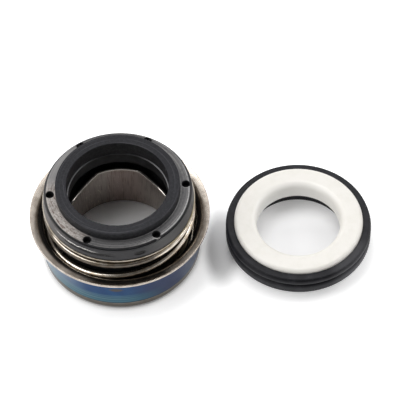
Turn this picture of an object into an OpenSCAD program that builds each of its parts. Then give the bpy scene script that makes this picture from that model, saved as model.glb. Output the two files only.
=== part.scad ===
// Water pump mechanical seal: a press-in seal head with a sprung carbon face,
// and beside it the mating seat, a ceramic ring in a ribbed rubber cup.
// Both stand on their bases, faces up. All sizes are millimetres.

/* [Case] */
// Press-fit outside diameter, over the sealant band
case_od = 28; // [26:0.1:36]
// Thickness of the drawn sheet
sheet_t = 0.5; // [0.3:0.05:0.6]
// Height of the rim's top edge above the base
rim_h = 9.4; // [8:0.1:10]
// How far the flared rim stands out from the case wall
rim_w = 1.8; // [1.4:0.1:3]
// Slope of the rim above the level
rim_slope = 15; // [0:1:25]
// Bend radius under the rim
rim_bend_r = 1.1; // [0.5:0.1:1.3]
// Outside radius of the two bends at the floor
floor_bend_r = 0.8; // [0.65:0.05:1.2]
// How far the inner sleeve stands back from the bore of the carbon ring
sleeve_step = 0.35; // [0.2:0.05:0.6]
// Number of tabs on the crown of the inner sleeve
tab_count = 3; // [2:1:4]
// Direction of the first tab, seen from above
tab_turn = 92; // [0:1:180]
// Depth of the scallop between two tabs
scallop_depth = 2.2; // [1:0.1:4]
// Radius of each scallop
scallop_r = 7.8; // [4:0.1:9]

/* [Sealant band] */
// Thickness of the lacquer film
coat_t = 0.1; // [0.05:0.01:0.15]
// Height of the band's lower edge above the base
coat_z = 1.7; // [1.3:0.1:3]

/* [Coil spring] */
// Wire diameter
wire_d = 1.1; // [0.8:0.05:1.4]
// Free length of the spring over its end coils
spring_len = 10.66; // [9:0.1:14]
// Turns of the steep middle, between the low end coils
active_turns = 0.68; // [0.5:0.02:1]
// Turns at each end that rise only a little
closed_turns = 1.29; // [1:0.01:1.5]
// Rise of the end coils in one turn
closed_pitch = 1.8; // [1.5:0.1:2]
// Share of the middle over which the pitch eases at each end
ease = 0.1; // [0.05:0.01:0.2]
// Direction of the wire's upper end, seen from above
coil_turn = 104; // [0:1:359]
// Gap between the coils and the case wall
coil_gap = 0.2; // [0.1:0.05:0.5]
// Gap between the end coils and the rings that they rest on
touch_gap = 0.02; // [0.01:0.01:0.05]

/* [Stamped spring rings] */
// Sheet thickness of the spring seat and the retainer
ring_t = 0.32; // [0.25:0.01:0.45]
// Height of the skirt that centres the spring
skirt_h = 1.3; // [0.8:0.1:2]
// Gap between the skirt and the coils
skirt_gap = 0.15; // [0.1:0.05:0.3]
// How far the retainer's flange stands out from the rubber head
flange_step = 0.15; // [0:0.05:0.3]

/* [Bellows] */
// Wall thickness of the neck and the fold
bellows_t = 0.9; // [0.6:0.05:1.1]
// Height of the foot that the spring seat holds down
foot_h = 1.4; // [1:0.1:2]
// Height of the straight neck above the foot
neck_h = 2; // [1:0.1:3]
// Depth of the hub below the spring retainer
hub_drop = 0.5; // [0.3:0.05:0.8]
// Rubber between the retainer and the carbon ring
head_base_t = 0.38; // [0.25:0.01:0.6]
// How far the outer lip narrows from its foot to its edge
lip_taper = 0.25; // [0.1:0.05:0.5]
// Thickness of the inner lip
inner_lip_t = 0.9; // [0.6:0.05:1.2]
// Height of the inner lip above the floor of the grip
inner_lip_h = 0.96; // [0.6:0.02:1.2]
// How far the inner lip stands out from the bore of the carbon ring
lip_ledge = 0.15; // [0.05:0.05:0.3]
// Gap between the rubber and the pieces that it meets
soft_gap = 0.08; // [0.05:0.01:0.12]

/* [Carbon ring] */
// Width of the running face
face_w = 1.9; // [1.4:0.1:2.4]
// Height of the nose above the shoulder
nose_h = 1.55; // [1:0.05:3]
// Width of the shoulder round the nose
shoulder_w = 1.8; // [1.7:0.05:2.4]
// Height of the shoulder above the ring's underside
shoulder_h = 2.22; // [1.8:0.02:2.8]
// Height of the bare edge above the outer lip
bare_edge = 0.6; // [0.3:0.05:0.8]
// How far the edge stands back from the outer lip
edge_step = 0.3; // [0.2:0.01:0.4]
// Chamfer on the outer edge of the shoulder
shoulder_c = 0.3; // [0.1:0.02:0.4]
// Chamfer on the edges of the carbon and ceramic rings
edge_c = 0.1; // [0.05:0.01:0.15]
// Number of blind holes in the shoulder
hole_count = 6; // [3:1:8]
// Diameter of the blind holes
hole_d = 1.35; // [0.8:0.05:1.5]
// Depth of the blind holes
hole_depth = 1.2; // [0.6:0.1:1.4]
// Wall between a hole and the edge of the shoulder
hole_wall = 0.12; // [0.1:0.01:0.4]
// Direction of the first hole, seen from above
hole_turn = 4; // [0:1:59]

/* [Travel] */
// How far the carbon face can be pressed in
travel = 2.5; // [1.5:0.1:3]
// Gap left above the tabs when it is pressed in
stop_gap = 0.27; // [0.15:0.01:0.5]

/* [Seat] */
// Distance between the two axes, side by side
spacing = 31.2; // [30:0.1:45]
// Bore of the ceramic ring
ceramic_bore = 14.7; // [12:0.1:16]
// Outside diameter of the ceramic ring
ceramic_od = 22.6; // [21:0.02:26]
// Height of the ceramic ring
ceramic_h = 4; // [3.4:0.02:5.5]
// Rounding of the bore's two edges
bore_round = 1.2; // [0.5:0.1:1.4]
// Rounding of the ring's upper outer edge
edge_round = 0.7; // [0.3:0.05:0.9]
// Thickness of the cup's floor
cup_floor = 2.2; // [1.8:0.05:2.8]
// How far the hole in the cup's floor stands back from the ceramic bore
floor_step = 1.4; // [0.9:0.05:2]
// Cup wall in the grooves between the ribs
cup_wall = 0.8; // [0.5:0.01:1.2]
// How far the ribs stand out from the wall
rib_bulge = 0.65; // [0.45:0.01:0.65]
// Height of the flat crest of the lower rib
rib_crest = 0.8; // [0.4:0.05:0.8]
// Height of the groove between the two ribs
groove_h = 0.12; // [0.05:0.01:0.2]
// How far the ceramic face stands above the cup's lip
face_proud = 0.75; // [0.6:0.01:1.1]
// Height of the cup's lip
lip_h = 0.3; // [0.2:0.02:0.32]
// How far the lip stands out from the wall
lip_w = 0.43; // [0.2:0.01:0.6]
// How far the cup's base narrows below the lower rib
base_taper = 0.8; // [0.3:0.05:1.1]

/* [Hidden] */
$fn = 96;

// Radii of the case, from the press fit inwards
case_r = case_od / 2 - coat_t;
case_in = case_r - sheet_t;
rim_r = case_r + rim_w;

// Radii of the spring and of the rings that centre it
coil_r = case_in - coil_gap - wire_d / 2;
coil_out = coil_r + wire_d / 2;
skirt_out = coil_r - wire_d / 2 - skirt_gap;
skirt_in = skirt_out - ring_t;

// Radii of the retainer, the bellows head and the carbon ring that it grips
flange_r = coil_out;
head_r = flange_r - flange_step;
outer_lip_r = head_r - lip_taper;
shoulder_r = outer_lip_r - edge_step;
stem_r = shoulder_r - edge_c;
nose_r = shoulder_r - shoulder_w;
face_bore_r = nose_r - face_w;
inner_lip_r = face_bore_r - lip_ledge;
inner_lip_out = inner_lip_r + inner_lip_t;
stem_in = inner_lip_out + soft_gap;
hub_r = skirt_in - soft_gap;

// Radii of the inner sleeve and of the bellows wall outside it
sleeve_in = face_bore_r + sleeve_step;
sleeve_out = sleeve_in + sheet_t;
neck_in = sleeve_out + soft_gap;
fold_depth = hub_r - bellows_t - neck_in;

// Heights of the seal head, from the floor up
foot_top = sheet_t + foot_h;
seat_top = foot_top + ring_t;
spring_z = seat_top + touch_gap;
spring_top = spring_z + spring_len;
retainer_z = spring_top + touch_gap;
retainer_top = retainer_z + ring_t;
hub_z = retainer_z - hub_drop;
head_z = retainer_top + soft_gap;
groove_z = head_z + head_base_t;
stem_z = groove_z + soft_gap;
shoulder_z = stem_z + shoulder_h;
face_z = shoulder_z + nose_h;
lip_top = shoulder_z - bare_edge;
inner_lip_top = groove_z + inner_lip_h;
tab_h = hub_z - travel - stop_gap;

// Start of the rim's bend, so that the rim's top edge comes to rim_h
bend_turn = 90 + rim_slope;
bend_end_r = case_r + rim_bend_r + (rim_bend_r + sheet_t) * cos(bend_turn);
bend_rise = (rim_bend_r + sheet_t) * sin(bend_turn);
flare_z = rim_h - bend_rise - (rim_r - bend_end_r) * tan(rim_slope);

// Sizes of the seat
bore_r = ceramic_bore / 2;
ceramic_r = ceramic_od / 2;
cup_in = ceramic_r + touch_gap;
cup_r = cup_in + cup_wall;
rib_r = cup_r + rib_bulge;
seat_face_z = cup_floor + ceramic_h;
cup_top = seat_face_z - face_proud;
upper_rib_z = cup_top - lip_h - rib_bulge;
lower_rib_z = upper_rib_z - 2 * rib_bulge - groove_h - rib_crest / 2;
cup_bore_r = bore_r + floor_step;

// Places of the two axes, with the middle of the whole at the origin
head_x = -(spacing + rib_r - rim_r) / 2;
seat_x = head_x + spacing;

// Steps of the curves
arc_steps = 8;
fold_steps = 24;
wire_sides = 12;
steps_per_turn = 40;

// Points of an arc round c, from angle a to angle b
function arc(c, r, a, b) =
    [for (i = [0 : arc_steps]) let (t = a + (b - a) * i / arc_steps) c + r * [cos(t), sin(t)]];

// Rise of the spring's steep part, 0 to 1, with eased ends
function rise(s) =
    s < ease ? s * s / (2 * ease * (1 - ease)) :
    s > 1 - ease ? 1 - (1 - s) * (1 - s) / (2 * ease * (1 - ease)) :
    (s - ease / 2) / (1 - ease);

// Height of the wire's middle, so many turns up from its lower end
coil_turns = active_turns + 2 * closed_turns;
steep_rise = spring_len - wire_d - closed_pitch * coil_turns;
function wire_z(turn) =
    let (s = min(1, max(0, (turn - closed_turns) / active_turns)))
    spring_z + wire_d / 2 + closed_pitch * turn + steep_rise * rise(s);

// Radius of the bellows wall's inside at height z, one wave outwards between neck and hub
fold_z = foot_top + neck_h;
function fold_r(z) =
    neck_in + fold_depth * (1 - cos(360 * (z - fold_z) / (hub_z - fold_z))) / 2;
fold_heights = [for (i = [0 : fold_steps]) fold_z + (hub_z - fold_z) * i / fold_steps];

// Drawn sheet outline of the case, from the floor round the rim and the sleeve
function case_outline() = concat(
    arc([case_r - floor_bend_r, floor_bend_r], floor_bend_r, -90, 0),
    arc([case_r + rim_bend_r, flare_z], rim_bend_r, 180, bend_turn),
    [[rim_r, rim_h - sheet_t / cos(rim_slope)], [rim_r, rim_h]],
    arc([case_r + rim_bend_r, flare_z], rim_bend_r + sheet_t, bend_turn, 180),
    arc([case_r - floor_bend_r, floor_bend_r], floor_bend_r - sheet_t, 0, -90),
    arc([sleeve_in + floor_bend_r, floor_bend_r], floor_bend_r - sheet_t, 270, 180),
    [[sleeve_out, tab_h], [sleeve_in, tab_h]],
    arc([sleeve_in + floor_bend_r, floor_bend_r], floor_bend_r, 180, 270));

module outer_case() {
    color([0.66, 0.62, 0.57])
    translate([head_x, 0, 0])
    difference() {
        rotate_extrude()
            polygon(case_outline());
        // Scallops between the tabs of the sleeve
        for (i = [0 : tab_count - 1])
            rotate([0, 0, tab_turn + (i + 0.5) * 360 / tab_count])
            translate([sleeve_in / 2, 0, tab_h - scallop_depth + scallop_r])
            rotate([0, 90, 0])
                cylinder(r = scallop_r, h = (sleeve_out + case_in - sleeve_in) / 2);
    }
}

module sealant_band() {
    color([0.22, 0.33, 0.47])
    translate([head_x, 0, coat_z])
    difference() {
        cylinder(r = case_od / 2, h = flare_z - coat_z);
        translate([0, 0, -coat_t])
            cylinder(r = case_r, h = flare_z - coat_z + 2 * coat_t);
    }
}

// L-section ring: a flat flange and a skirt that stands inside the spring
module spring_ring(inner_r, outer_r) {
    rotate_extrude()
        polygon([[inner_r, 0], [outer_r, 0], [outer_r, ring_t], [skirt_out, ring_t],
                 [skirt_out, ring_t + skirt_h], [skirt_in, ring_t + skirt_h],
                 [skirt_in, ring_t], [inner_r, ring_t]]);
}

module spring_seat() {
    color([0.72, 0.70, 0.66])
    translate([head_x, 0, foot_top])
        spring_ring(neck_in + bellows_t + soft_gap, case_in - soft_gap);
}

module spring_retainer() {
    color([0.72, 0.70, 0.66])
    translate([head_x, 0, retainer_top])
    mirror([0, 0, 1])
        spring_ring(skirt_in, flange_r);
}

module coil_spring() {
    steps = ceil(coil_turns * steps_per_turn);
    wire_r = wire_d / 2;
    rings = [for (i = [0 : steps])
        let (turn = i / steps * coil_turns,
             a = coil_turn + 360 * (turn - coil_turns),
             z = wire_z(turn))
        [for (j = [0 : wire_sides - 1])
            let (b = 360 * j / wire_sides, r = coil_r + wire_r * cos(b))
            [r * cos(a), r * sin(a), z + wire_r * sin(b)]]];
    points = [for (ring = rings) for (p = ring) p];
    last = steps * wire_sides;
    sides = [for (i = [0 : steps - 1]) for (j = [0 : wire_sides - 1])
        let (k = (j + 1) % wire_sides, lo = i * wire_sides, hi = lo + wire_sides)
        [lo + j, hi + j, hi + k, lo + k]];
    ends = [[for (j = [0 : wire_sides - 1]) j],
            [for (j = [wire_sides - 1 : -1 : 0]) last + j]];
    color([0.86, 0.84, 0.80])
    translate([head_x, 0, 0])
        polyhedron(points, concat(sides, ends), convexity = 8);
}

module bellows() {
    bend_in = floor_bend_r - sheet_t;
    foot = [[sleeve_out + bend_in, sheet_t], [case_in - bend_in, sheet_t],
            [case_in - soft_gap, floor_bend_r], [case_in - soft_gap, foot_top],
            [neck_in + bellows_t, foot_top]];
    wall_out = [for (z = fold_heights) [fold_r(z) + bellows_t, z]];
    head = [[hub_r, hub_z], [hub_r, head_z], [head_r, head_z], [outer_lip_r, lip_top],
            [stem_r + soft_gap, lip_top], [stem_r + soft_gap, groove_z],
            [inner_lip_out, groove_z], [inner_lip_out, inner_lip_top],
            [inner_lip_r, inner_lip_top], [inner_lip_r, hub_z]];
    wall_in = [for (i = [fold_steps : -1 : 0]) [fold_r(fold_heights[i]), fold_heights[i]]];
    color([0.09, 0.09, 0.10])
    translate([head_x, 0, 0])
    rotate_extrude()
        polygon(concat(foot, wall_out, head, wall_in, [[neck_in, floor_bend_r]]));
}

module seal_ring() {
    step_z = inner_lip_top + soft_gap;
    color([0.24, 0.24, 0.26])
    translate([head_x, 0, 0])
    difference() {
        rotate_extrude()
            polygon([[stem_in, stem_z], [stem_r - edge_c, stem_z], [stem_r, stem_z + edge_c],
                     [stem_r, lip_top], [shoulder_r, lip_top + edge_c],
                     [shoulder_r, shoulder_z - shoulder_c],
                     [shoulder_r - shoulder_c, shoulder_z],
                     [nose_r, shoulder_z], [nose_r, face_z - edge_c], [nose_r - edge_c, face_z],
                     [face_bore_r + edge_c, face_z], [face_bore_r, face_z - edge_c],
                     [face_bore_r, step_z], [stem_in, step_z]]);
        for (i = [0 : hole_count - 1])
            rotate([0, 0, hole_turn + i * 360 / hole_count])
            translate([shoulder_r - hole_wall - hole_d / 2, 0, shoulder_z - hole_depth])
                cylinder(d = hole_d, h = hole_depth + nose_h / 2);
    }
}

module ceramic_ring() {
    color([0.93, 0.92, 0.89])
    translate([seat_x, 0, cup_floor])
    rotate_extrude()
        polygon(concat(
            arc([bore_r + bore_round, bore_round], bore_round, 180, 270),
            [[ceramic_r - edge_c, 0], [ceramic_r, edge_c]],
            arc([ceramic_r - edge_round, ceramic_h - edge_round], edge_round, 0, 90),
            arc([bore_r + bore_round, ceramic_h - bore_round], bore_round, 90, 180)));
}

module seat_cup() {
    color([0.10, 0.10, 0.11])
    translate([seat_x, 0, 0])
    rotate_extrude()
        polygon(concat(
            [[cup_bore_r, 0], [cup_r - base_taper, 0]],
            arc([cup_r, lower_rib_z - rib_crest / 2], rib_bulge, -90, 0),
            arc([cup_r, lower_rib_z + rib_crest / 2], rib_bulge, 0, 90),
            arc([cup_r, upper_rib_z], rib_bulge, -90, 90),
            [[cup_r + lip_w, cup_top - lip_h / 2], [cup_r + lip_w, cup_top - edge_c],
             [cup_r + lip_w - edge_c, cup_top], [cup_in, cup_top], [cup_in, cup_floor],
             [cup_bore_r, cup_floor]]));
}

outer_case();
sealant_band();
spring_seat();
coil_spring();
bellows();
spring_retainer();
seal_ring();
ceramic_ring();
seat_cup();
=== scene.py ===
import math

import bmesh
import bpy
from mathutils import Matrix, Vector


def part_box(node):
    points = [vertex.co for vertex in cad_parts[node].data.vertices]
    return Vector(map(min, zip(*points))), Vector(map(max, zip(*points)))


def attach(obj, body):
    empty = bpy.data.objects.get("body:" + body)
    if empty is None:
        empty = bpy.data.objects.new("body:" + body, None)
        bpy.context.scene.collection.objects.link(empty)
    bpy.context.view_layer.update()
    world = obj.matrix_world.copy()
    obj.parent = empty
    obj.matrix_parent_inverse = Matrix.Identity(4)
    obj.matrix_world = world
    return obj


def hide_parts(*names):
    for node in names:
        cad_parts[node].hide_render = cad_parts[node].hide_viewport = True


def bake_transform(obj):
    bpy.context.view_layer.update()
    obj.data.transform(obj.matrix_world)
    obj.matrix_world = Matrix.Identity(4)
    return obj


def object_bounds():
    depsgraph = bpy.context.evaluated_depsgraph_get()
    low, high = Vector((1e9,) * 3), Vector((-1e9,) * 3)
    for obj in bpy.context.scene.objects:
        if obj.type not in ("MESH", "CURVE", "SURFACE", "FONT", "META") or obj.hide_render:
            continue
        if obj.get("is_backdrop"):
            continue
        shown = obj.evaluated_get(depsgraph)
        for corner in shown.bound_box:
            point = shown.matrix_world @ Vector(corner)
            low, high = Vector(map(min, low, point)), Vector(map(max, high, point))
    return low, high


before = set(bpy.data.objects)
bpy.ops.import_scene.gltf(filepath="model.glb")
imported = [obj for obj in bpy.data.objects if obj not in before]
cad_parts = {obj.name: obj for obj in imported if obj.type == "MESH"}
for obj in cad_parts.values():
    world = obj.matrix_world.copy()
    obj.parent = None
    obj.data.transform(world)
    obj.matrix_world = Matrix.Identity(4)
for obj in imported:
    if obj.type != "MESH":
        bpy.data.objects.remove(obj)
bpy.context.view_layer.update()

# Outer case: one cup of thin stainless sheet, deep drawn with a trough between its wall and an
# inner sleeve. A flared rim stops it in the pump housing, and three tabs are left on the sleeve
# by the scallops cut between them. The drawing leaves upright lines, and the rim has a dull film.
MM = 0.001
HEAD_AXIS = sum(corner.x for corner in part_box("outer_case")) / 2 / MM
CASE_RADIUS = 13.9
SHEET = 0.5
FLOOR_BEND = 0.8
RIM_RADIUS = 15.7
RIM_HEIGHT = 9.4
RIM_SLOPE = 15
RIM_BEND = 1.1
FLARE_HEIGHT = 7.556
SLEEVE_RADIUS = 9.15
TAB_HEIGHT = 9.65
SCALLOP_MIDDLES = (32, 152, 272)
SCALLOP_RADIUS = 7.8
SCALLOP_DEPTH = 2.2
EDGE_BAND = 0.3
SMOOTH_ANGLE = math.radians(42)


def bend(radius, height, size, start, stop, steps=8):
    """Points of a rounded corner of an outline, as (radius, height), between two angles."""
    angles = [math.radians(start + (stop - start) * i / steps) for i in range(steps + 1)]
    return [(radius + size * math.cos(a), height + size * math.sin(a)) for a in angles]


def nothing_selected():
    if bpy.context.mode != "OBJECT":
        bpy.ops.object.mode_set(mode="OBJECT")
    bpy.ops.object.select_all(action="DESELECT")


def turned(name, axis, outline, steps=192):
    """A ring with this outline, drawn point by point on one side and spun round its axis."""
    nothing_selected()
    first = Vector((axis + outline[0][0], 0, outline[0][1])) * MM
    bpy.ops.mesh.primitive_plane_add(size=MM, location=first)
    piece = bpy.context.object
    piece.name = piece.data.name = name
    bpy.ops.object.transform_apply(location=True)
    bpy.ops.object.mode_set(mode="EDIT")
    bpy.ops.mesh.merge(type="CENTER")
    for (r0, z0), (r1, z1) in zip(outline, outline[1:] + outline[:1]):
        step = ((r1 - r0) * MM, 0, (z1 - z0) * MM)
        bpy.ops.mesh.extrude_vertices_move(TRANSFORM_OT_translate={"value": step})
    bpy.ops.mesh.select_all(action="SELECT")
    bpy.ops.mesh.spin(steps=steps, angle=2 * math.pi, center=(axis * MM, 0, 0), axis=(0, 0, 1))
    bpy.ops.mesh.select_all(action="SELECT")
    bpy.ops.mesh.remove_doubles(threshold=0.001 * MM)
    bpy.ops.mesh.normals_make_consistent(inside=False)
    bpy.ops.object.mode_set(mode="OBJECT")
    return piece


def apply_modifier(piece, kind, **settings):
    nothing_selected()
    bpy.context.view_layer.objects.active = piece
    piece.select_set(True)
    made = piece.modifiers.new(kind.lower(), kind)
    for key, value in settings.items():
        setattr(made, key, value)
    bpy.ops.object.modifier_apply(modifier=made.name)


def ease_edges(piece, width, segments=2):
    """Rounds every sharp edge of a piece by this width, then smooths its shading."""
    apply_modifier(piece, "BEVEL", width=width * MM, segments=segments, limit_method="ANGLE",
                   angle_limit=math.radians(35), use_clamp_overlap=True)
    bpy.ops.object.shade_smooth_by_angle(angle=SMOOTH_ANGLE)
    apply_modifier(piece, "WEIGHTED_NORMAL", keep_sharp=True)


def pick(mesh, test):
    """Selects, in edit mode, only the vertices that pass a test."""
    bpy.ops.mesh.select_all(action="DESELECT")
    for vertex in mesh.verts:
        if test(vertex):
            vertex.select_set(True)
    mesh.select_flush_mode()


class Channel:
    """One output of a finish's nodes. Arithmetic on channels adds Math nodes."""

    def __init__(self, finish, socket):
        self.finish, self.socket = finish, socket

    def maths(self, operation, first, second):
        return self.finish.node("Math", {"operation": operation}, {0: first, 1: second})

    def __add__(self, other):
        return self.maths("ADD", self, other)

    def __sub__(self, other):
        return self.maths("SUBTRACT", self, other)

    def __rsub__(self, other):
        return self.maths("SUBTRACT", other, self)

    def __mul__(self, other):
        return self.maths("MULTIPLY", self, other)

    __radd__, __rmul__ = __add__, __mul__


class Finish:
    """The material of one piece, patterned in millimetres round the piece's own axis."""

    def __init__(self, name, axis, **fixed):
        self.material = bpy.data.materials.new(name)
        self.material.use_nodes = True
        self.tree = self.material.node_tree
        self.surface = self.tree.nodes["Principled BSDF"]
        for socket, value in fixed.items():
            self.surface.inputs[socket.replace("_", " ")].default_value = value
        spot = self.node("TexCoord", output="Object")
        self.spot = self.node("Mapping", {}, {"Vector": spot, "Scale": (1 / MM,) * 3,
                                             "Location": (-axis, 0, 0)})
        self.x, self.y, self.z = (self.node("SeparateXYZ", {}, {0: self.spot}, output=i)
                                  for i in range(3))
        self.turn = self.node("Math", {"operation": "ARCTAN2"}, {0: self.y, 1: self.x})
        self.radius = self.node("Math", {"operation": "SQRT"},
                                {0: self.x * self.x + self.y * self.y})

    def node(self, kind, settings=None, values=None, output=0):
        made = self.tree.nodes.new("ShaderNode" + kind)
        for key, value in (settings or {}).items():
            setattr(made, key, value)
        for key, value in (values or {}).items():
            if isinstance(value, Channel):
                self.tree.links.new(value.socket, made.inputs[key])
            else:
                made.inputs[key].default_value = value
        return Channel(self, made.outputs[output])

    def grain(self, size, stretch=(1, 1, 1), detail=4, roughness=0.55):
        """Noise from 0 to 1 with features of about this size, longer where stretch is more."""
        scale = tuple(1 / (size * s) for s in stretch)
        spot = self.node("Mapping", {}, {"Vector": self.spot, "Scale": scale})
        return self.node("TexNoise", {}, {"Vector": spot, "Scale": 1.0, "Detail": detail,
                                          "Roughness": roughness})

    def rings(self, size, detail=3, breaks=0.6):
        """Noise in fine lines that run round the axis, with so many breaks in a radian."""
        spot = self.node("CombineXYZ", {}, {0: self.radius * (1 / size), 1: self.z * (1 / size),
                                            2: self.turn * breaks})
        return self.node("TexNoise", {}, {"Vector": spot, "Scale": 1.0, "Detail": detail})

    def between(self, value, low, high, to_low=0.0, to_high=1.0):
        """A soft step of a value, from one bound to the other."""
        return self.node("MapRange", {"interpolation_type": "SMOOTHSTEP"},
                         {0: value, 1: low, 2: high, 3: to_low, 4: to_high})

    def sector(self, middle, half, soft):
        """1 within half an angle of a direction seen from above, and 0 past its soft edge."""
        off = self.node("Math", {"operation": "COSINE"}, {0: self.turn - math.radians(middle)})
        return self.between(off, math.cos(math.radians(half + soft)),
                            math.cos(math.radians(max(half - soft, 0))))

    def patch(self, turn, height, wide, tall):
        """1 in the middle of a small oval mark on a wall, fading to 0 at its edge."""
        away = self.turn - math.radians(turn)
        side = self.node("Math", {"operation": "SINE"}, {0: away}) * self.radius * (1 / wide)
        rise = (self.z - height) * (1 / tall)
        reach = self.node("Math", {"operation": "SQRT"}, {0: side * side + rise * rise})
        return self.between(reach, 1.0, 0.4) * self.sector(turn, 60, 10)

    def mix(self, under, over, share):
        return self.node("Mix", {"data_type": "RGBA"}, {0: share, 6: under, 7: over}, output=2)

    def bumps(self, height, depth, strength=1.0, under=None):
        values = {"Height": height, "Distance": depth * MM, "Strength": strength}
        if under is not None:
            values["Normal"] = under
        return self.node("Bump", {}, values)

    def put(self, piece, **links):
        for socket, value in links.items():
            name = socket.replace("_", " ")
            if isinstance(value, Channel):
                self.tree.links.new(value.socket, self.surface.inputs[name])
            else:
                self.surface.inputs[name].default_value = value
        piece.data.materials.clear()
        piece.data.materials.append(self.material)


def tone(red, green, blue):
    """A colour given by its screen values, 0 to 255, as the shader takes it."""
    def straight(c):
        c /= 255
        return c / 12.92 if c <= 0.04045 else ((c + 0.055) / 1.055) ** 2.4
    return (straight(red), straight(green), straight(blue), 1.0)


rim_edge = RIM_HEIGHT - SHEET / math.cos(math.radians(RIM_SLOPE))
outer_case = turned("outer_case_drawn", HEAD_AXIS, (
    bend(CASE_RADIUS - FLOOR_BEND, FLOOR_BEND, FLOOR_BEND, -90, 0)
    + bend(CASE_RADIUS + RIM_BEND, FLARE_HEIGHT, RIM_BEND, 180, 90 + RIM_SLOPE)
    + [(RIM_RADIUS, rim_edge), (RIM_RADIUS, RIM_HEIGHT)]
    + bend(CASE_RADIUS + RIM_BEND, FLARE_HEIGHT, RIM_BEND + SHEET, 90 + RIM_SLOPE, 180)
    + bend(CASE_RADIUS - FLOOR_BEND, FLOOR_BEND, FLOOR_BEND - SHEET, 0, -90)
    + bend(SLEEVE_RADIUS + FLOOR_BEND, FLOOR_BEND, FLOOR_BEND - SHEET, 270, 180)
    + [(SLEEVE_RADIUS + SHEET, TAB_HEIGHT - EDGE_BAND), (SLEEVE_RADIUS + SHEET, TAB_HEIGHT),
       (SLEEVE_RADIUS, TAB_HEIGHT), (SLEEVE_RADIUS, TAB_HEIGHT - EDGE_BAND)]
    + bend(SLEEVE_RADIUS + FLOOR_BEND, FLOOR_BEND, FLOOR_BEND, 180, 270)), steps=360)


def scallop_drop(vertex):
    """How far the sleeve's edge is cut down at a vertex, in millimetres."""
    x, y = vertex.co.x / MM - HEAD_AXIS, vertex.co.y / MM
    drop = 0
    for middle in SCALLOP_MIDDLES:
        away = math.radians(middle)
        across = y * math.cos(away) - x * math.sin(away)
        if x * math.cos(away) + y * math.sin(away) > 0 and abs(across) < SCALLOP_RADIUS:
            up = SCALLOP_RADIUS - math.sqrt(SCALLOP_RADIUS ** 2 - across ** 2)
            drop = max(drop, SCALLOP_DEPTH - up)
    return round(drop, 4)


bpy.ops.object.mode_set(mode="EDIT")
case_mesh = bmesh.from_edit_mesh(outer_case.data)
crown = {v.index: scallop_drop(v) for v in case_mesh.verts
         if v.co.z > (TAB_HEIGHT - EDGE_BAND - 0.01) * MM
         and math.hypot(v.co.x / MM - HEAD_AXIS, v.co.y / MM) < SLEEVE_RADIUS + 2 * SHEET}
for drop in sorted(set(crown.values()) - {0}):
    pick(case_mesh, lambda v: crown.get(v.index) == drop)
    bpy.ops.transform.translate(value=(0, 0, -drop * MM))
ease_edges(outer_case, 0.15, 4)
# Painted highlight: the sheared edges of the tabs are marked here, then painted near-white below
# and given a smoother finish.
sheared_highlight = outer_case.data.attributes.new("sheared_highlight", "FLOAT", "POINT")
for vertex in outer_case.data.vertices:
    on_crown = vertex.co.z / MM > TAB_HEIGHT - scallop_drop(vertex) - EDGE_BAND * 0.7
    reach = math.hypot(vertex.co.x / MM - HEAD_AXIS, vertex.co.y / MM)
    sheared_highlight.data[vertex.index].value = float(on_crown and reach < SLEEVE_RADIUS + 2 * SHEET)

stainless = Finish("drawn_stainless", HEAD_AXIS)
draw_lines = stainless.grain(0.2, stretch=(1, 1, 14), detail=4, roughness=0.65)
ring_lines = stainless.rings(0.07)
stain = stainless.grain(2.2, detail=4)
flecks = stainless.grain(0.4, stretch=(1, 1, 2.5), detail=3)
in_sleeve = stainless.between(stainless.radius, SLEEVE_RADIUS + 0.4, SLEEVE_RADIUS + 0.3)
# Painted shade: the foot of the case is darkened where it meets the table.
foot_shade = stainless.between(stainless.z, 1.9, 1.4) * (1 - in_sleeve)
crown_highlight = stainless.node("Attribute", {"attribute_name": "sheared_highlight"}, output="Fac")
dull_film = (stainless.between(stainless.radius, CASE_RADIUS + 0.4, CASE_RADIUS + 1.1)
             * stainless.between(stainless.z, FLARE_HEIGHT, FLARE_HEIGHT + RIM_BEND)
             * (stainless.sector(220, 20, 16) + 0.6 * stainless.sector(332, 20, 14)))
steel_tone = stainless.mix(tone(190, 181, 171), tone(160, 150, 140),
                           stainless.between(stain, 0.4, 0.66))
steel_tone = stainless.mix(steel_tone, tone(164, 155, 149), in_sleeve)
steel_tone = stainless.mix(steel_tone, tone(160, 138, 132),
                           in_sleeve * stainless.sector(84, 14, 12) * 0.5)
steel_tone = stainless.mix(steel_tone, tone(96, 86, 80), 0.5 * in_sleeve
                           * stainless.between(draw_lines, 0.48, 0.66))
steel_tone = stainless.mix(steel_tone, tone(206, 196, 186), 0.6 * in_sleeve
                           * stainless.sector(118, 24, 12) * stainless.between(flecks, 0.58, 0.7))
steel_tone = stainless.mix(steel_tone, tone(78, 75, 69), foot_shade * 0.92)
# Painted highlight along the sheared crown edges.
steel_tone = stainless.mix(steel_tone, tone(240, 234, 226), crown_highlight)
stainless.put(outer_case, Base_Color=steel_tone, Metallic=1 - 0.6 * dull_film,
              Roughness=(0.20 + 0.06 * stain - 0.1 * crown_highlight
                         + (0.12 + 0.08 * draw_lines) * in_sleeve * (1 - crown_highlight)),
              Normal=stainless.bumps(draw_lines * in_sleeve, 0.008, 0.4,
                                     stainless.bumps(ring_lines, 0.003, 0.1)))
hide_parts("outer_case")
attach(outer_case, "housing")
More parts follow.
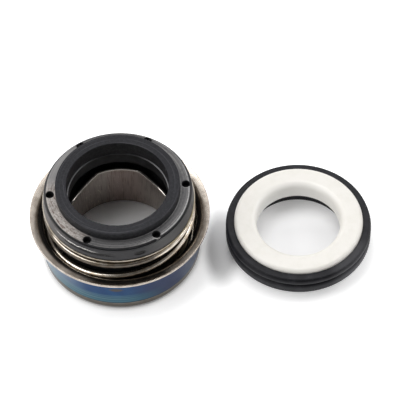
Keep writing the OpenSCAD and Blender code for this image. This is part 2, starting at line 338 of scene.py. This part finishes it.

# Sealant band: a film of blue lacquer on the case wall that fills the fit in the housing. It is
# brushed on as the case turns, so its tint drifts at random and its edges are rounded. Grey-blue
# on its left and a pale streak on its right are painted light, navy on its right painted shade.
BAND_RADIUS = 14.0
BAND_FOOT = 1.7
sealant_band = turned("sealant_band_film", HEAD_AXIS, [
    (CASE_RADIUS, BAND_FOOT), (BAND_RADIUS - 0.04, BAND_FOOT), (BAND_RADIUS, BAND_FOOT + 0.12),
    (BAND_RADIUS, BAND_FOOT + 1.2), (BAND_RADIUS, FLARE_HEIGHT - 1.2),
    (BAND_RADIUS, FLARE_HEIGHT - 0.12), (BAND_RADIUS - 0.04, FLARE_HEIGHT),
    (CASE_RADIUS, FLARE_HEIGHT)])
ease_edges(sealant_band, 0.02)
lacquer = Finish("blue_lacquer", HEAD_AXIS, Coat_Roughness=0.15, Specular_IOR_Level=0.15)
brush = lacquer.rings(0.22, detail=4)
drift = lacquer.grain(4.0, detail=3)
low_part = lacquer.between(lacquer.z, 4.6, 2.8)
lacquer_tone = lacquer.mix(tone(8, 54, 98), tone(22, 74, 118), lacquer.between(drift, 0.35, 0.7))
# Painted light: grey-blue on the lit left side.
lacquer_tone = lacquer.mix(lacquer_tone, tone(128, 142, 152),
                           lacquer.sector(198, 27, 24) * (0.6 + 0.3 * low_part))
# Painted shade: navy on the right side.
lacquer_tone = lacquer.mix(lacquer_tone, tone(34, 46, 78), lacquer.sector(325, 38, 26))
# Painted light: a pale streak at the right edge.
lacquer_tone = lacquer.mix(lacquer_tone, tone(96, 106, 122), lacquer.sector(338, 12, 12) * 0.5)
lacquer_tone = lacquer.mix(lacquer_tone, tone(54, 96, 108),
                           low_part * lacquer.sector(254, 32, 20) * 0.8)
lacquer_tone = lacquer.mix(lacquer_tone, tone(96, 124, 134),
                           low_part * lacquer.between(brush, 0.52, 0.62)
                           * lacquer.sector(248, 26, 14) * 0.7)
lacquer_tone = lacquer.mix(lacquer_tone, tone(28, 44, 66), lacquer.between(brush, 0.46, 0.3) * 0.4)
lacquer_tone = lacquer.mix(lacquer_tone, tone(66, 62, 62), lacquer.patch(267, 5.7, 1.6, 0.6))
lacquer_tone = lacquer.mix(lacquer_tone, tone(26, 36, 44),
                           lacquer.between(lacquer.z, BAND_FOOT + 0.35, BAND_FOOT + 0.15))
lacquer.put(sealant_band, Base_Color=lacquer_tone, Metallic=0.15,
            Roughness=0.34 + 0.15 * drift, Coat_Weight=0.06,
            Normal=lacquer.bumps(brush, 0.008, 0.4))
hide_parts("sealant_band")
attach(sealant_band, "housing")

# Spring seat: a stamped steel ring on the foot of the bellows. Its flange holds the rubber down
# in the trough, and its upright skirt keeps the lowest coil central.
RING_SHEET = 0.32
SKIRT_HEIGHT = 1.3
SKIRT_RADIUS = 11.95
SEAT_FOOT = 1.9
SEAT_HOLE = 10.71
SEAT_RADIUS = 13.32
SKIRT_INSIDE = SKIRT_RADIUS - RING_SHEET


def spring_ring(name, foot, hole, rim, way):
    """An L-shaped ring with its flat face at foot and its skirt standing up or down from it."""
    flange, edge = foot + way * RING_SHEET, foot + way * (RING_SHEET + SKIRT_HEIGHT)
    inside = [(SKIRT_INSIDE, flange), (hole, flange)] if hole < SKIRT_INSIDE else []
    ring = turned(name, HEAD_AXIS, [
        (hole, foot), (rim, foot), (rim, flange), (SKIRT_RADIUS, flange),
        (SKIRT_RADIUS, edge), (SKIRT_INSIDE, edge), *inside])
    ease_edges(ring, 0.07)
    return ring


spring_seat = spring_ring("spring_seat_stamped", SEAT_FOOT, SEAT_HOLE, SEAT_RADIUS, 1)
stamping = Finish("stamped_steel", HEAD_AXIS, Metallic=1.0)
stamp_lines = stamping.rings(0.06)
stamp_stain = stamping.grain(2.0, detail=5)
stamp_tone = stamping.mix(tone(176, 168, 156), tone(132, 122, 106),
                          stamping.between(stamp_stain, 0.4, 0.7))
stamp_tone = stamping.mix(stamp_tone, tone(150, 138, 96), stamping.sector(335, 22, 14) * 0.5)
stamping.put(spring_seat, Base_Color=stamp_tone, Roughness=0.26 + 0.16 * stamp_stain,
             Normal=stamping.bumps(stamp_lines, 0.006, 0.5))
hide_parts("spring_seat")
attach(spring_seat, "housing")

# Coil spring: bright drawn wire, wound with low end coils and a steep middle. It stands on the
# spring seat and pushes up the retainer, and the wire is cut square at both ends.
WIRE = 1.1
COIL_RADIUS = 12.65
SPRING_FOOT = 2.24
SPRING_LENGTH = 10.66
STEEP_TURNS = 0.68
END_TURNS = 1.29
END_PITCH = 1.8
EASE = 0.1
UPPER_END = 104
STEPS_PER_TURN = 60
# Turns, bearing and angles round the wire of the lit band that the painted shade leaves bright.
NARROW_LIT_TURNS = 1.15
NARROW_LIT_BEARING = 300
NARROW_LIT_SIDE = (50, 70)
LIT_SIDE = (10, 140)
all_turns = STEEP_TURNS + 2 * END_TURNS


def wire_height(turn):
    """Height of the wire's middle after so many turns from the lower end."""
    s = min(1, max(0, (turn - END_TURNS) / STEEP_TURNS))
    top = 2 * EASE * (1 - EASE)
    if s < EASE:
        rise = s * s / top
    elif s > 1 - EASE:
        rise = 1 - (1 - s) ** 2 / top
    else:
        rise = (s - EASE / 2) / (1 - EASE)
    steep = SPRING_LENGTH - WIRE - END_PITCH * all_turns
    return SPRING_FOOT + WIRE / 2 + END_PITCH * turn + steep * rise


nothing_selected()
bpy.ops.mesh.primitive_circle_add(
    vertices=24, radius=WIRE / 2 * MM, rotation=(math.pi / 2, 0, 0),
    location=Vector((HEAD_AXIS + COIL_RADIUS, 0, wire_height(0))) * MM)
coil_spring = bpy.context.object
coil_spring.name = coil_spring.data.name = "coil_spring_wound"
bpy.ops.object.transform_apply(location=True, rotation=True)
bpy.ops.object.mode_set(mode="EDIT")
bpy.ops.mesh.select_all(action="SELECT")
steps = round(all_turns * STEPS_PER_TURN)
lower_end = UPPER_END - 360 * all_turns
spindle = (HEAD_AXIS * MM, 0, 0)
bpy.ops.transform.rotate(value=-math.radians(lower_end), orient_axis="Z",
                         center_override=spindle)
for i in range(steps):
    climb = wire_height((i + 1) / steps * all_turns) - wire_height(i / steps * all_turns)
    bpy.ops.mesh.extrude_edges_move(TRANSFORM_OT_translate={"value": (0, 0, climb * MM)})
    bpy.ops.transform.rotate(value=-math.radians(360 * all_turns / steps), orient_axis="Z",
                             center_override=spindle)
bpy.ops.mesh.select_all(action="SELECT")
bpy.ops.mesh.fill_holes(sides=0)
bpy.ops.mesh.normals_make_consistent(inside=False)
bpy.ops.object.mode_set(mode="OBJECT")
ease_edges(coil_spring, 0.12)


def place_on_wire(vertex):
    """Turns up from the lower end, and degrees round the wire from its outermost line."""
    x, y, z = vertex.co.x / MM - HEAD_AXIS, vertex.co.y / MM, vertex.co.z / MM
    part = (math.degrees(math.atan2(y, x)) - lower_end) / 360 % 1
    turn = min((part + i for i in range(math.ceil(all_turns))),
               key=lambda place: abs(wire_height(place) - z))
    return turn, math.degrees(math.atan2(z - wire_height(turn), math.hypot(x, y) - COIL_RADIUS))


# Painted shade: the wire is darkened all round except a lit band on its upper outer side, narrower
# on the top turn, and wholly on the shaded left of the head.
painted_wire_shade = coil_spring.data.attributes.new("painted_wire_shade", "FLOAT", "POINT")
for vertex in coil_spring.data.vertices:
    turn, side = place_on_wire(vertex)
    bearing = (lower_end + 360 * turn) % 360
    narrow_lit = turn > all_turns - NARROW_LIT_TURNS and bearing < NARROW_LIT_BEARING
    low, high = NARROW_LIT_SIDE if narrow_lit else LIT_SIDE
    painted_wire_shade.data[vertex.index].value = float(not low < side < high or 160 < bearing < 210)
bright_wire = Finish("bright_wire", HEAD_AXIS, Metallic=1.0)
wire_lines = bright_wire.rings(0.12)
wire_stain = bright_wire.grain(1.5, detail=4)
wire_shade_share = bright_wire.node("Attribute", {"attribute_name": "painted_wire_shade"}, output="Fac")
wire_tone = bright_wire.mix(tone(226, 217, 204), tone(180, 164, 142),
                            bright_wire.between(wire_stain, 0.42, 0.72))
wire_tone = bright_wire.mix(wire_tone, tone(58, 50, 44), wire_shade_share * 0.85)
bright_wire.put(coil_spring, Base_Color=wire_tone,
                Roughness=0.18 + 0.10 * wire_stain + 0.2 * wire_shade_share,
                Normal=bright_wire.bumps(wire_lines, 0.006, 0.4))
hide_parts("coil_spring")
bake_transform(coil_spring)

# Bellows: one moulding of black rubber that keeps the water in while the face moves. Its foot is
# held down in the trough, its wall folds outwards between neck and hub, and its head grips the
# carbon ring between an outer and an inner lip.
FOOT_BASE = SHEET
FOOT_TOP = 1.9
NECK_INSIDE = 9.73
RUBBER = 0.9
FOLD_FOOT = 3.9
FOLD_DEPTH = 0.92
HUB_RADIUS = 11.55
HUB_BASE = 12.42
HEAD_BASE = 13.32
HEAD_RADIUS = 13.05
LIP_RADIUS = 12.8
LIP_TOP = 15.4
GRIP_RADIUS = 12.48
GRIP_FLOOR = 13.7
INNER_LIP = (8.65, 9.55)
INNER_LIP_TOP = 14.66
CASE_INSIDE = CASE_RADIUS - SHEET
CLEAR = 0.08


def fold(offset, steps=40):
    """One wave of the bellows wall from neck to hub, this far outside its inner face."""
    points = []
    for i in range(steps + 1):
        wave = FOLD_DEPTH * (1 - math.cos(2 * math.pi * i / steps)) / 2
        points.append((NECK_INSIDE + offset + wave,
                       FOLD_FOOT + (HUB_BASE - FOLD_FOOT) * i / steps))
    return points


trough_bend = FLOOR_BEND - SHEET
bellows = turned("bellows_moulded", HEAD_AXIS, (
    [(SLEEVE_RADIUS + SHEET + trough_bend, FOOT_BASE), (CASE_INSIDE - trough_bend, FOOT_BASE),
     (CASE_INSIDE - CLEAR, FLOOR_BEND), (CASE_INSIDE - CLEAR, FOOT_TOP),
     (NECK_INSIDE + RUBBER, FOOT_TOP)]
    + fold(RUBBER)
    + [(HUB_RADIUS, HUB_BASE), (HUB_RADIUS, HEAD_BASE), (HEAD_RADIUS, HEAD_BASE),
       (LIP_RADIUS, LIP_TOP), (GRIP_RADIUS, LIP_TOP), (GRIP_RADIUS, GRIP_FLOOR),
       (INNER_LIP[1], GRIP_FLOOR), (INNER_LIP[1], INNER_LIP_TOP),
       (INNER_LIP[0], INNER_LIP_TOP), (INNER_LIP[0], HUB_BASE)]
    + fold(0)[::-1] + [(NECK_INSIDE, FLOOR_BEND)]))
ease_edges(bellows, 0.07)
moulded_height = bellows.data.attributes.new("moulded_height", "FLOAT", "POINT")
for vertex in bellows.data.vertices:
    moulded_height.data[vertex.index].value = vertex.co.z / MM
rubber = Finish("black_rubber", HEAD_AXIS, Specular_IOR_Level=0.25)
rubber.z = rubber.node("Attribute", {"attribute_name": "moulded_height"}, output="Fac")
skin = rubber.grain(0.16, detail=3)
bloom = rubber.grain(1.8, detail=5)
nicks = rubber.grain(0.6, detail=3)
rubber_tone = rubber.mix(tone(18, 18, 20), tone(38, 38, 40), rubber.between(bloom, 0.42, 0.7))
on_head = (rubber.between(rubber.z, HEAD_BASE, HEAD_BASE + 0.2)
           * rubber.between(rubber.radius, GRIP_RADIUS - 0.1, GRIP_RADIUS + 0.1))
rubber_tone = rubber.mix(rubber_tone, tone(56, 55, 57), on_head * 0.7)
# Painted sheen: the head is lighter on its left and right sides, where the side lamps fall.
rubber_tone = rubber.mix(rubber_tone, tone(84, 80, 78), on_head * rubber.sector(205, 22, 14) * 0.6)
rubber_tone = rubber.mix(rubber_tone, tone(88, 87, 86), on_head * rubber.sector(328, 26, 16) * 0.6)
torn_height = rubber.z + 0.5 * nicks
torn = (rubber.sector(246, 18, 6) * on_head * rubber.between(torn_height, 14.4, 14.55)
        * rubber.between(torn_height, 14.95, 14.8))
torn = torn * rubber.between(nicks, 0.3, 0.4) + rubber.patch(287, 14.4, 1.2, 0.5)
rubber_tone = rubber.mix(rubber_tone, tone(2, 2, 2), torn)
flash = (rubber.sector(234, 15, 8) * on_head * rubber.between(torn_height, 14.93, 14.98)
         * rubber.between(torn_height, 15.15, 15.10))
rubber_tone = rubber.mix(rubber_tone, tone(225, 222, 218), flash * rubber.between(skin, 0.3, 0.5))
# Painted highlight: a light line round the top of the inner lip, kept to its left and right sides.
lip_edge_highlight = (rubber.between(rubber.radius, 8.95, 8.85)
            * rubber.between(rubber.z, INNER_LIP_TOP - 0.14, INNER_LIP_TOP - 0.08))
rubber_tone = rubber.mix(rubber_tone, tone(126, 126, 128), lip_edge_highlight
                         * (1 - 0.85 * rubber.sector(90, 30, 24))
                         * (1 - 0.85 * rubber.sector(270, 55, 24)))
rubber.put(bellows, Base_Color=rubber_tone, Roughness=0.40 + 0.2 * bloom,
           Normal=rubber.bumps(skin, 0.015, 0.35, rubber.bumps(1 - torn, 0.4)))
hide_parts("bellows")
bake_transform(bellows)

# Spring retainer: the same kind of stamped ring as the seat, turned over. The bellows head sits
# on its flange, whose edge shows as a bright line, and the top coil pushes up round its skirt.
RETAINER_TOP = 13.24
FLANGE_RADIUS = 13.2
spring_retainer = spring_ring("spring_retainer_stamped", RETAINER_TOP, SKIRT_INSIDE,
                              FLANGE_RADIUS, -1)
spring_retainer.data.materials.append(stamping.material)
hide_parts("spring_retainer")
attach(spring_retainer, "face")

# Seal ring: moulded carbon with a raised nose, lapped flat to run on the ceramic ring. Six blind
# holes in its shoulder keep it from turning in the moulding press. The rubber lips grip its stem.
FACE_HEIGHT = 17.55
FACE_BORE = 8.8
NOSE_RADIUS = 10.7
SHOULDER_RADIUS = 12.5
SHOULDER_HEIGHT = 16.0
SHOULDER_CHAMFER = 0.3
STEM = (9.63, 12.4)
STEM_FOOT = 13.78
EDGE = 0.1
HOLES = 6
HOLE_TURN = 4
HOLE_RADIUS = 0.675
HOLE_CIRCLE = 11.705
HOLE_DEPTH = 1.2
HOLE_FLARE = 0.14
seal_ring = turned("seal_ring_carbon", HEAD_AXIS, [
    (STEM[0], STEM_FOOT), (STEM[1], STEM_FOOT), (STEM[1], LIP_TOP),
    (SHOULDER_RADIUS, LIP_TOP + EDGE), (SHOULDER_RADIUS, SHOULDER_HEIGHT - SHOULDER_CHAMFER),
    (SHOULDER_RADIUS - SHOULDER_CHAMFER, SHOULDER_HEIGHT),
    (NOSE_RADIUS, SHOULDER_HEIGHT), (NOSE_RADIUS, FACE_HEIGHT), (FACE_BORE, FACE_HEIGHT),
    (FACE_BORE, INNER_LIP_TOP + CLEAR), (STEM[0], INNER_LIP_TOP + CLEAR)])
ease_edges(seal_ring, 0.08, 3)
nothing_selected()
hole_middle = Vector((HEAD_AXIS + HOLE_CIRCLE, 0, SHOULDER_HEIGHT)) * MM
straight = HOLE_DEPTH - HOLE_FLARE
bpy.ops.mesh.primitive_cylinder_add(
    vertices=32, radius=HOLE_RADIUS * MM, depth=straight * MM,
    location=hole_middle - Vector((0, 0, HOLE_FLARE + straight / 2)) * MM)
drill = bpy.context.object
bpy.ops.object.transform_apply(location=True)
bpy.ops.object.mode_set(mode="EDIT")
drill_mesh = bmesh.from_edit_mesh(drill.data)
pick(drill_mesh, lambda v: v.co.z > hole_middle.z - HOLE_FLARE * 1.1 * MM)
bpy.ops.mesh.extrude_region_move(TRANSFORM_OT_translate={"value": (0, 0, HOLE_FLARE * MM)})
widen = 1 + HOLE_FLARE / HOLE_RADIUS
bpy.ops.transform.resize(value=(widen, widen, 1), center_override=hole_middle)
bpy.ops.mesh.extrude_region_move(TRANSFORM_OT_translate={"value": (0, 0, HOLE_DEPTH * MM)})
bpy.ops.mesh.select_all(action="SELECT")
bpy.ops.mesh.normals_make_consistent(inside=False)
bpy.ops.transform.rotate(value=-math.radians(HOLE_TURN), orient_axis="Z", center_override=spindle)
for i in range(HOLES - 1):
    bpy.ops.mesh.duplicate_move()
    bpy.ops.transform.rotate(value=-math.radians(360 / HOLES), orient_axis="Z",
                             center_override=spindle)
bpy.ops.object.mode_set(mode="OBJECT")
apply_modifier(seal_ring, "BOOLEAN", object=drill, operation="DIFFERENCE", solver="EXACT")
bpy.data.objects.remove(drill)
bpy.ops.object.shade_smooth_by_angle(angle=SMOOTH_ANGLE)
apply_modifier(seal_ring, "WEIGHTED_NORMAL", keep_sharp=True)
carbon = Finish("moulded_carbon", HEAD_AXIS, Specular_IOR_Level=0.15)
lapped = carbon.between(carbon.z, FACE_HEIGHT - 0.12, FACE_HEIGHT - 0.06)
on_shoulder = (carbon.between(carbon.z, SHOULDER_HEIGHT - 0.22, SHOULDER_HEIGHT - 0.08)
               * carbon.between(carbon.radius, NOSE_RADIUS + 0.03, NOSE_RADIUS + 0.12))
pores = carbon.grain(0.22, detail=4)
lap_lines = carbon.rings(0.05)
swirl = carbon.rings(0.16)
dust = carbon.grain(0.45, detail=6, roughness=0.7)
scrape = carbon.rings(0.2, detail=4, breaks=11)
rust = carbon.rings(0.3, detail=4, breaks=8)
from_hole = carbon.node("Math", {"operation": "FLOORED_MODULO"}, {
    0: carbon.turn - math.radians(HOLE_TURN - 180 / HOLES), 1: 2 * math.pi / HOLES})
from_hole = from_hole - math.pi / HOLES
aside = carbon.node("Math", {"operation": "SINE"}, {0: from_hole}) * carbon.radius
beyond = carbon.node("Math", {"operation": "COSINE"}, {0: from_hole}) * carbon.radius - HOLE_CIRCLE
hole_reach = carbon.node("Math", {"operation": "SQRT"}, {0: aside * aside + beyond * beyond})
in_hole = carbon.between(hole_reach, HOLE_RADIUS + HOLE_FLARE, HOLE_RADIUS + 0.02)
hole_bearing = carbon.turn - from_hole
to_front = (0 - beyond * carbon.node("Math", {"operation": "SINE"}, {0: hole_bearing})
            - aside * carbon.node("Math", {"operation": "COSINE"}, {0: hole_bearing}))
# Painted light: the near side of each hole's flared mouth, toward the front, is painted light.
lit_hole_mouth = (carbon.between(hole_reach, HOLE_RADIUS + 0.01, HOLE_RADIUS + 0.07)
              * carbon.between(hole_reach, HOLE_RADIUS + 0.21, HOLE_RADIUS + 0.15)
              * carbon.between(to_front, 0.35, 0.65) * carbon.sector(330, 55, 25))
carbon_tone = carbon.mix(tone(30, 30, 32), tone(46, 46, 48), carbon.between(dust, 0.4, 0.65))
carbon_tone = carbon.mix(carbon_tone, tone(92, 91, 92), on_shoulder * 0.5)
carbon_tone = carbon.mix(carbon_tone, tone(122, 121, 122),
                         on_shoulder * carbon.sector(5, 50, 24) * 0.5)
carbon_tone = carbon.mix(carbon_tone, tone(150, 148, 146),
                         on_shoulder * carbon.between(swirl, 0.5, 0.64) * 0.5)
carbon_tone = carbon.mix(carbon_tone, tone(40, 40, 42),
                         on_shoulder * carbon.between(dust, 0.52, 0.62) * 0.4)
carbon_tone = carbon.mix(carbon_tone, tone(150, 148, 148),
                         on_shoulder * carbon.sector(158, 26, 16) * 0.6)
# Painted highlight: light lines on the shoulder's chamfer and at the foot of the nose, on the
# right side, broken up by the pores.
edge_highlight = (carbon.between(carbon.radius, 12.08, 12.16)
             * carbon.between(carbon.radius, 12.34, 12.26)
             + 0.7 * carbon.between(carbon.radius, 10.92, 10.84))
carbon_tone = carbon.mix(carbon_tone, tone(186, 185, 184), edge_highlight * on_shoulder
                         * carbon.sector(338, 42, 22) * carbon.between(pores, 0.3, 0.55) * 0.75)
# The left side of the shoulder is worn: scraped, dusty and rust-stained. Its lighter ground is
# partly painted sheen.
worn_and_lit_side = carbon.sector(207, 30, 12) * on_shoulder
carbon_tone = carbon.mix(carbon_tone, tone(168, 162, 157), worn_and_lit_side * 0.9)
carbon_tone = carbon.mix(carbon_tone, tone(206, 200, 195),
                         worn_and_lit_side * carbon.between(scrape, 0.5, 0.66) * 0.8)
carbon_tone = carbon.mix(carbon_tone, tone(104, 94, 88),
                         worn_and_lit_side * carbon.between(dust, 0.5, 0.58) * 0.6)
carbon_tone = carbon.mix(carbon_tone, tone(92, 74, 68),
                         worn_and_lit_side * carbon.between(rust, 0.53, 0.64) * 0.8)
carbon_tone = carbon.mix(carbon_tone, tone(30, 30, 32), in_hole)
carbon_tone = carbon.mix(carbon_tone, tone(176, 174, 172), lit_hole_mouth * 0.7)
carbon_tone = carbon.mix(carbon_tone, carbon.mix(tone(28, 28, 32), tone(40, 40, 44),
                                                 carbon.between(dust, 0.4, 0.65)), lapped)
carbon_tone = carbon.mix(carbon_tone, tone(74, 74, 78),
                         lapped * carbon.between(swirl, 0.58, 0.68) * 0.5)
carbon.put(seal_ring, Base_Color=carbon_tone,
           Roughness=carbon.between(lapped, 0, 1, 0.44, 0.34) + 0.1 * pores,
           Normal=carbon.bumps(pores, 0.02, 0.4, carbon.bumps(lap_lines, 0.003, 0.3)))
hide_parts("seal_ring")
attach(seal_ring, "face")

# Seat cup: a moulded rubber boot that holds the ceramic ring in the impeller. Two round ribs and
# a lip run round its wall and grip the recess that it is pushed into.
SEAT_AXIS = sum(corner.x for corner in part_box("seat_cup")) / 2 / MM
CERAMIC_RADIUS = 11.3
CUP_INSIDE = 11.32
CUP_WALL = 12.12
CUP_BORE = 8.75
CUP_FLOOR = 2.2
CUP_TOP = 5.45
CUP_BASE_TAPER = 0.8
RIB = 0.65
LOWER_RIB = (2.28, 3.08)
UPPER_RIB = 4.5
LIP_OUT = 0.43
LIP_HEIGHT = 0.3
seat_cup = turned("seat_cup_moulded", SEAT_AXIS, (
    [(CUP_BORE, 0), (CUP_WALL - CUP_BASE_TAPER, 0)]
    + bend(CUP_WALL, LOWER_RIB[0], RIB, -90, 0)
    + bend(CUP_WALL, LOWER_RIB[1], RIB, 0, 90)
    + bend(CUP_WALL, UPPER_RIB, RIB, -90, 90, 16)
    + [(CUP_WALL + LIP_OUT, CUP_TOP - LIP_HEIGHT / 2), (CUP_WALL + LIP_OUT, CUP_TOP - EDGE),
       (CUP_WALL + LIP_OUT - EDGE, CUP_TOP), (CUP_INSIDE, CUP_TOP), (CUP_INSIDE, CUP_FLOOR),
       (CUP_BORE, CUP_FLOOR)]))
ease_edges(seat_cup, 0.06)
boot = Finish("boot_rubber", SEAT_AXIS, Specular_IOR_Level=0.2)
boot_skin = boot.grain(0.16, detail=3)
boot_bloom = boot.grain(1.8, detail=5)
crumbs = boot.grain(0.22, detail=2)
boot_tone = boot.mix(tone(26, 26, 30), tone(39, 39, 43), boot.between(boot_bloom, 0.42, 0.7))
# Painted light: the boot is lighter on its right side.
boot_tone = boot.mix(boot_tone, tone(72, 72, 75), boot.sector(318, 14, 12) * 0.6)
boot_tone = boot.mix(boot_tone, tone(112, 108, 98), boot.sector(262, 22, 10) * 0.8
                     * boot.between(crumbs, 0.70, 0.76))
boot.put(seat_cup, Base_Color=boot_tone, Roughness=0.42 + 0.2 * boot_bloom,
         Normal=boot.bumps(boot_skin, 0.015, 0.35))
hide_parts("seat_cup")
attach(seat_cup, "housing")

# Ceramic ring: white alumina, pressed, fired and ground, with a polished running face. Its bore
# and its upper edge are rounded, and it is bedded in the cup a little above the lip.
CERAMIC_BORE = 7.35
CERAMIC_TOP = 6.2
BORE_ROUND = 1.2
EDGE_ROUND = 0.7
ceramic_ring = turned("ceramic_ring_ground", SEAT_AXIS, (
    bend(CERAMIC_BORE + BORE_ROUND, CUP_FLOOR + BORE_ROUND, BORE_ROUND, 180, 270, 12)
    + [(CERAMIC_RADIUS, CUP_FLOOR)]
    + bend(CERAMIC_RADIUS - EDGE_ROUND, CERAMIC_TOP - EDGE_ROUND, EDGE_ROUND, 0, 90)
    + bend(CERAMIC_BORE + BORE_ROUND, CERAMIC_TOP - BORE_ROUND, BORE_ROUND, 90, 180, 12)))
ease_edges(ceramic_ring, 0.08)
ceramic = Finish("white_ceramic", SEAT_AXIS, IOR=1.6)
speckle = ceramic.grain(1.6, detail=4)
grind = ceramic.rings(0.08)
ceramic_tone = ceramic.mix(tone(226, 223, 217), tone(222, 219, 212),
                           ceramic.between(speckle, 0.4, 0.7))
# Painted light: the bore's rounding is lighter on its far, back-left side, which lies in shade.
in_bore = ceramic.between(ceramic.radius, CERAMIC_BORE + BORE_ROUND, CERAMIC_BORE + 0.2)
ceramic_tone = ceramic.mix(ceramic_tone, tone(248, 246, 241),
                           in_bore * ceramic.sector(125, 75, 35))
ceramic.put(ceramic_ring, Base_Color=ceramic_tone,
            Roughness=0.30 + 0.10 * speckle, Normal=ceramic.bumps(grind, 0.003, 0.25))
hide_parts("ceramic_ring")
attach(ceramic_ring, "housing")

# Studio: a white table that glows a little, less between the halves and inside the seat. The
# tent round it is pale and open, so dark, on the camera's side, and it has three soft lamps: one
# above and a little behind the pair, and one at each side.
GAP_MIDDLE = (3.5, -1.5)
GAP_REACH = (3.2, 8.5)
nothing_selected()
bpy.ops.mesh.primitive_plane_add(size=4, location=(0, 0, -0.01 * MM))
table_top = bpy.context.object
table_top.name = "table_top"
paper = Finish("white_paper", HEAD_AXIS, Roughness=0.9, Emission_Strength=0.45)
fibre = paper.grain(6.0, detail=2)
past_seat = paper.x - (SEAT_AXIS - HEAD_AXIS)
seat_reach = paper.node("Math", {"operation": "SQRT"},
                        {0: past_seat * past_seat + paper.y * paper.y})
gap_side = (paper.x - (GAP_MIDDLE[0] - HEAD_AXIS)) * (1 / GAP_REACH[0])
gap_depth = (paper.y - GAP_MIDDLE[1]) * (1 / GAP_REACH[1])
gap_reach = paper.node("Math", {"operation": "SQRT"},
                       {0: gap_side * gap_side + gap_depth * gap_depth})
in_cup = paper.between(seat_reach, CUP_WALL, CUP_BORE)
in_seat = (in_cup * paper.between(past_seat, -6.5, -1, 0.6, 1.0)
           * paper.between(paper.y, 6, 1, 0.6, 1.0))
glow = (paper.between(paper.radius, CASE_RADIUS - 0.7, CASE_RADIUS + 0.9)
        * paper.between(gap_reach, 0.55, 1.25) * (1 - in_seat))
paper_tone = paper.mix((0.93, 0.93, 0.93, 1), (0.95, 0.95, 0.95, 1), fibre)
# Painted shade: the paper inside the seat's bore is darker.
paper_tone = paper.mix(paper_tone, (0.86, 0.86, 0.87, 1), in_cup)
paper.put(table_top, Base_Color=paper_tone,
          Emission_Color=paper.mix((0, 0, 0, 1), (1, 1, 1, 1), glow))
table_top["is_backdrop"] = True

world = bpy.data.worlds.new("tent")
world.use_nodes = True
bpy.context.scene.world = world
tent = world.node_tree.nodes["Background"]
way = world.node_tree.nodes.new("ShaderNodeTexCoord")
lean = world.node_tree.nodes.new("ShaderNodeVectorMath")
lean.operation = "DOT_PRODUCT"
lean.inputs[1].default_value = (0.11, -0.63, 0.77)
world.node_tree.links.new(way.outputs["Generated"], lean.inputs[0])
shade = world.node_tree.nodes.new("ShaderNodeMapRange")
shade.interpolation_type = "SMOOTHSTEP"
for socket, value in enumerate((0.55, 0.92, 0.9, 0.1), 1):
    shade.inputs[socket].default_value = value
world.node_tree.links.new(lean.outputs["Value"], shade.inputs[0])
world.node_tree.links.new(shade.outputs[0], tent.inputs["Strength"])
tent.inputs["Color"].default_value = (1.0, 1.0, 1.0, 1)


def soft_lamp(name, place, size, watts):
    bpy.ops.object.light_add(type="AREA", location=place)
    lamp = bpy.context.object
    lamp.name = name
    lamp.data.shape = "DISK"
    lamp.data.size = size
    lamp.data.energy = watts
    lamp.rotation_euler = Vector(place).to_track_quat("Z", "Y").to_euler()


soft_lamp("lamp_top", (-0.06, 0.16, 0.53), 0.30, 0.9)
soft_lamp("lamp_left", (-0.38, -0.02, 0.42), 0.50, 1.3)
soft_lamp("lamp_right", (0.42, 0.16, 0.44), 0.26, 0.5)

# Camera: above the front of the pair, a little to the right of the head, with a long lens and the
# slight roll of the picture.
CAMERA_TARGET = Vector((1.25, 7.327, 0)) * MM
CAMERA_DISTANCE = 383.0 * MM
CAMERA_RISE = math.radians(53.57)
CAMERA_ROLL = math.radians(-1.35)
back = Vector((0, -math.cos(CAMERA_RISE), math.sin(CAMERA_RISE)))
right = Vector((1, 0, 0))
up = Vector((0, math.sin(CAMERA_RISE), math.cos(CAMERA_RISE)))
across = math.cos(CAMERA_ROLL) * right + math.sin(CAMERA_ROLL) * up
upright = math.cos(CAMERA_ROLL) * up - math.sin(CAMERA_ROLL) * right
bpy.ops.object.camera_add()
camera = bpy.context.object
camera.matrix_world = Matrix.Translation(CAMERA_TARGET + back * CAMERA_DISTANCE) @ Matrix(
    (across, upright, back)).transposed().to_4x4()
camera.data.sensor_width = 36
camera.data.lens = 184.59
camera.data.clip_start = 0.01
bpy.context.scene.camera = camera
bpy.context.scene.view_settings.view_transform = "Standard"

low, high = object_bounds()
